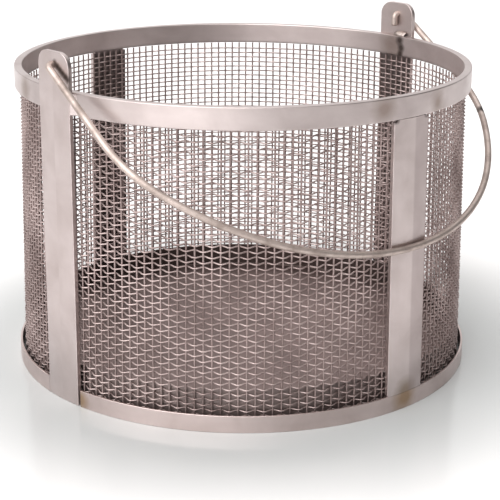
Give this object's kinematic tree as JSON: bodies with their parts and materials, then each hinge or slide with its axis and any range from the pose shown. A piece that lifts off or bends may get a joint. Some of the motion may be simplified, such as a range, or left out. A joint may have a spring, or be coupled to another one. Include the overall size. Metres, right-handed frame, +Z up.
{
  "type": "basket strainer",
  "caption": "Round woven-wire strainer basket in a welded bar frame, with a swinging wire bail to lift it by. It holds solids back while liquid runs out through the wall.",
  "frame": {"origin": "centre of the foot band's circle, at the plane the basket stands on", "axes": "+Z up along the basket's axis; the bail's hinge lies along X; the bail hangs on the -Y side"},
  "size_m": [0.3174, 0.3091, 0.223],
  "materials": {
    "bar_steel": "satin",
    "band_steel": "satin",
    "sheet_steel": "satin",
    "mesh_steel": "satin",
    "bail_steel": "satin",
    "weld_steel": "rough"
  },
  "bodies": {
    "basket": {"top_ring": "bar_steel", "ring_butt_weld": "weld_steel", "band_front": "band_steel", "band_back": "band_steel", "band_end_welds": "weld_steel", "ear_strap_left": "bar_steel", "ear_strap_right": "bar_steel", "plain_strap_front": "bar_steel", "plain_strap_back": "bar_steel", "strap_top_welds": "weld_steel", "strap_foot_welds": "weld_steel", "ear_side_welds": "weld_steel", "ear_bead_left": "weld_steel", "ear_bead_right": "weld_steel", "wall_upright_wires": "mesh_steel", "wall_hoop_wires": "mesh_steel", "foot_rim": "sheet_steel", "rim_butt_weld": "weld_steel", "floor_plate": "sheet_steel", "floor_seam_weld": "weld_steel"},
    "bail": {"bail_handle": "bail_steel"}
  },
  "joints": [
    {"name": "bail_swing", "type": "hinge", "parent": "basket", "child": "bail", "pos_m": [0, 0, 0.215], "axis": [-1, 0, 0], "range_deg": [0, 250.5]}
  ]
}
